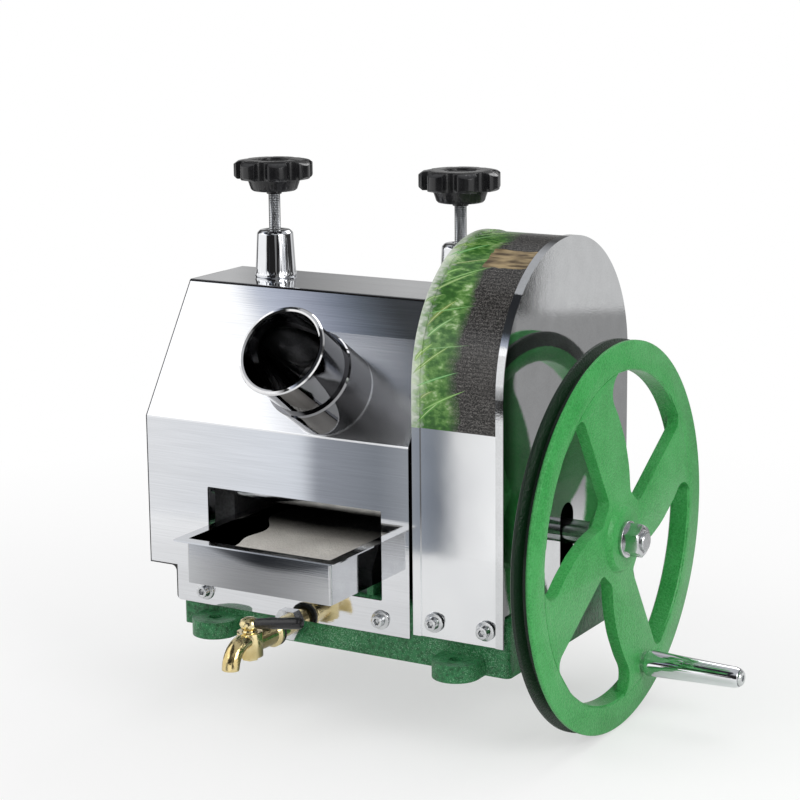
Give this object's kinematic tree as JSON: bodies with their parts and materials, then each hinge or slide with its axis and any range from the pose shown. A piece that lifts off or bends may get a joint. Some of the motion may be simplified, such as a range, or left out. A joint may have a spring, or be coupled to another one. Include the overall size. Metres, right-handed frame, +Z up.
{
  "type": "manual sugarcane juicer",
  "caption": "Hand-cranked cane mill: three geared rollers in a folded stainless cover on a green cast base, with feed tube, juice tray, tap, press screws and a spoked handwheel.",
  "frame": {"origin": "centre of the four bench bolt holes, on the flat underside of the cast base", "axes": "+X towards the handwheel, along the crank shaft; +Y from the front mouth to the back; +Z up"},
  "size_m": [0.4776, 0.3622, 0.448],
  "materials": {
    "green_casting": "green hammertone enamel on grey iron",
    "raw_casting": "oiled grey iron",
    "stainless_mirror": "polished stainless sheet",
    "printed_band": "stainless sheet with a printed film of plain leaf stripes",
    "strainer_mesh": "fine perforated stainless sheet",
    "stainless_plain": "turned stainless",
    "chrome_plate": "bright chrome",
    "zinc_fastener": "bright zinc",
    "machined_steel": "machined and oiled",
    "bronze_bush": "sintered bronze",
    "brass": "polished yellow brass",
    "black_rubber": "matt rubber",
    "black_moulding": "gloss black bakelite",
    "black_dip": "gloss black sleeve"
  },
  "bodies": {
    "frame": {"base_casting": "green_casting", "left_cheek": "raw_casting", "right_cheek": "raw_casting", "cheek_caps": "raw_casting", "cheek_bolts": "zinc_fastener", "cheek_tie_bars": "zinc_fastener", "lower_bushes": "bronze_bush", "shaft_housing": "raw_casting", "shaft_bushes": "bronze_bush", "main_cover": "stainless_mirror", "main_cover_screws": "zinc_fastener", "gear_backplate": "stainless_mirror", "gear_cover_band": "printed_band", "gear_cover_side": "stainless_mirror", "gear_cover_screws": "zinc_fastener", "left_screw_boss": "chrome_plate", "right_screw_boss": "chrome_plate", "feed_sleeve": "stainless_mirror", "feed_tube": "stainless_mirror", "front_guide": "stainless_plain", "rear_guide": "stainless_plain", "turn_plate": "raw_casting", "juice_pan": "stainless_mirror", "outlet_pipe": "brass", "outlet_locknut": "zinc_fastener", "tap_gasket": "black_rubber", "tap_body": "brass"},
    "crank": {"crank_shaft": "machined_steel", "drive_pinion": "machined_steel", "handwheel": "green_casting", "wheel_key": "machined_steel", "wheel_washer": "zinc_fastener", "wheel_nut": "zinc_fastener", "handle_pin": "zinc_fastener"},
    "grip": {"grip_sleeve": "chrome_plate"},
    "front_roll": {"front_roller": "stainless_plain", "front_mill_gear": "machined_steel", "front_gear_key": "machined_steel", "front_gear_nut": "zinc_fastener"},
    "rear_roll": {"rear_roller": "stainless_plain", "rear_mill_gear": "machined_steel", "rear_gear_key": "machined_steel", "rear_gear_nut": "zinc_fastener"},
    "carriage": {"top_block_left": "machined_steel", "top_block_right": "machined_steel", "top_bushes": "bronze_bush"},
    "top_roll": {"top_roller": "stainless_plain", "top_mill_gear": "machined_steel", "top_drive_gear": "machined_steel", "top_gear_keys": "machined_steel", "top_gear_nut": "zinc_fastener"},
    "left_knob": {"left_press_screw": "zinc_fastener", "left_star_knob": "black_moulding"},
    "right_knob": {"right_press_screw": "zinc_fastener", "right_star_knob": "black_moulding"},
    "tray": {"juice_tray": "stainless_mirror", "strainer_screen": "strainer_mesh"},
    "tap_key": {"tap_plug": "brass", "tap_bottom_nut": "brass", "tap_lever": "black_dip"}
  },
  "joints": [
    {"name": "crank_turn", "type": "hinge", "parent": "frame", "child": "crank", "pos_m": [0, -0.012, 0.095], "axis": [1, 0, 0], "continuous": true},
    {"name": "grip_spin", "type": "hinge", "parent": "crank", "child": "grip", "pos_m": [0.25, 0.03595, -0.02368], "axis": [1, 0, 0], "continuous": true},
    {"name": "front_roller_turn", "type": "hinge", "parent": "frame", "child": "front_roll", "pos_m": [0, -0.044, 0.15612], "axis": [1, 0, 0], "continuous": true},
    {"name": "rear_roller_turn", "type": "hinge", "parent": "frame", "child": "rear_roll", "pos_m": [0, 0.04, 0.15612], "axis": [1, 0, 0], "continuous": true},
    {"name": "roller_gap", "type": "slide", "parent": "frame", "child": "carriage", "axis": [0, 0, 1], "range_m": [0, 0.0015]},
    {"name": "top_roller_turn", "type": "hinge", "parent": "carriage", "child": "top_roll", "pos_m": [0, -0.002, 0.2146], "axis": [1, 0, 0], "continuous": true},
    {"name": "left_knob_turn", "type": "hinge", "parent": "carriage", "child": "left_knob", "pos_m": [-0.132, -0.002, 0.36], "axis": [0, 0, 1], "range_deg": [0, 360]},
    {"name": "right_knob_turn", "type": "hinge", "parent": "carriage", "child": "right_knob", "pos_m": [0.05, -0.002, 0.36], "axis": [0, 0, 1], "range_deg": [0, 360]},
    {"name": "tray_slide", "type": "slide", "parent": "frame", "child": "tray", "axis": [0, -1, 0], "range_m": [-0.06, 0.1]},
    {"name": "tap_turn", "type": "hinge", "parent": "frame", "child": "tap_key", "pos_m": [-0.048, -0.178, 0.02], "axis": [0, 0, 1], "range_deg": [-90, 0]}
  ],
  "couplings": [
    {"joint": "front_roller_turn", "follows": "crank_turn", "ratio": 0.33333},
    {"joint": "rear_roller_turn", "follows": "crank_turn", "ratio": 0.33333},
    {"joint": "top_roller_turn", "follows": "crank_turn", "ratio": -0.33333},
    {"joint": "left_knob_turn", "follows": "roller_gap", "rad_per_m": 4188.8},
    {"joint": "right_knob_turn", "follows": "roller_gap", "rad_per_m": 4188.8}
  ]
}
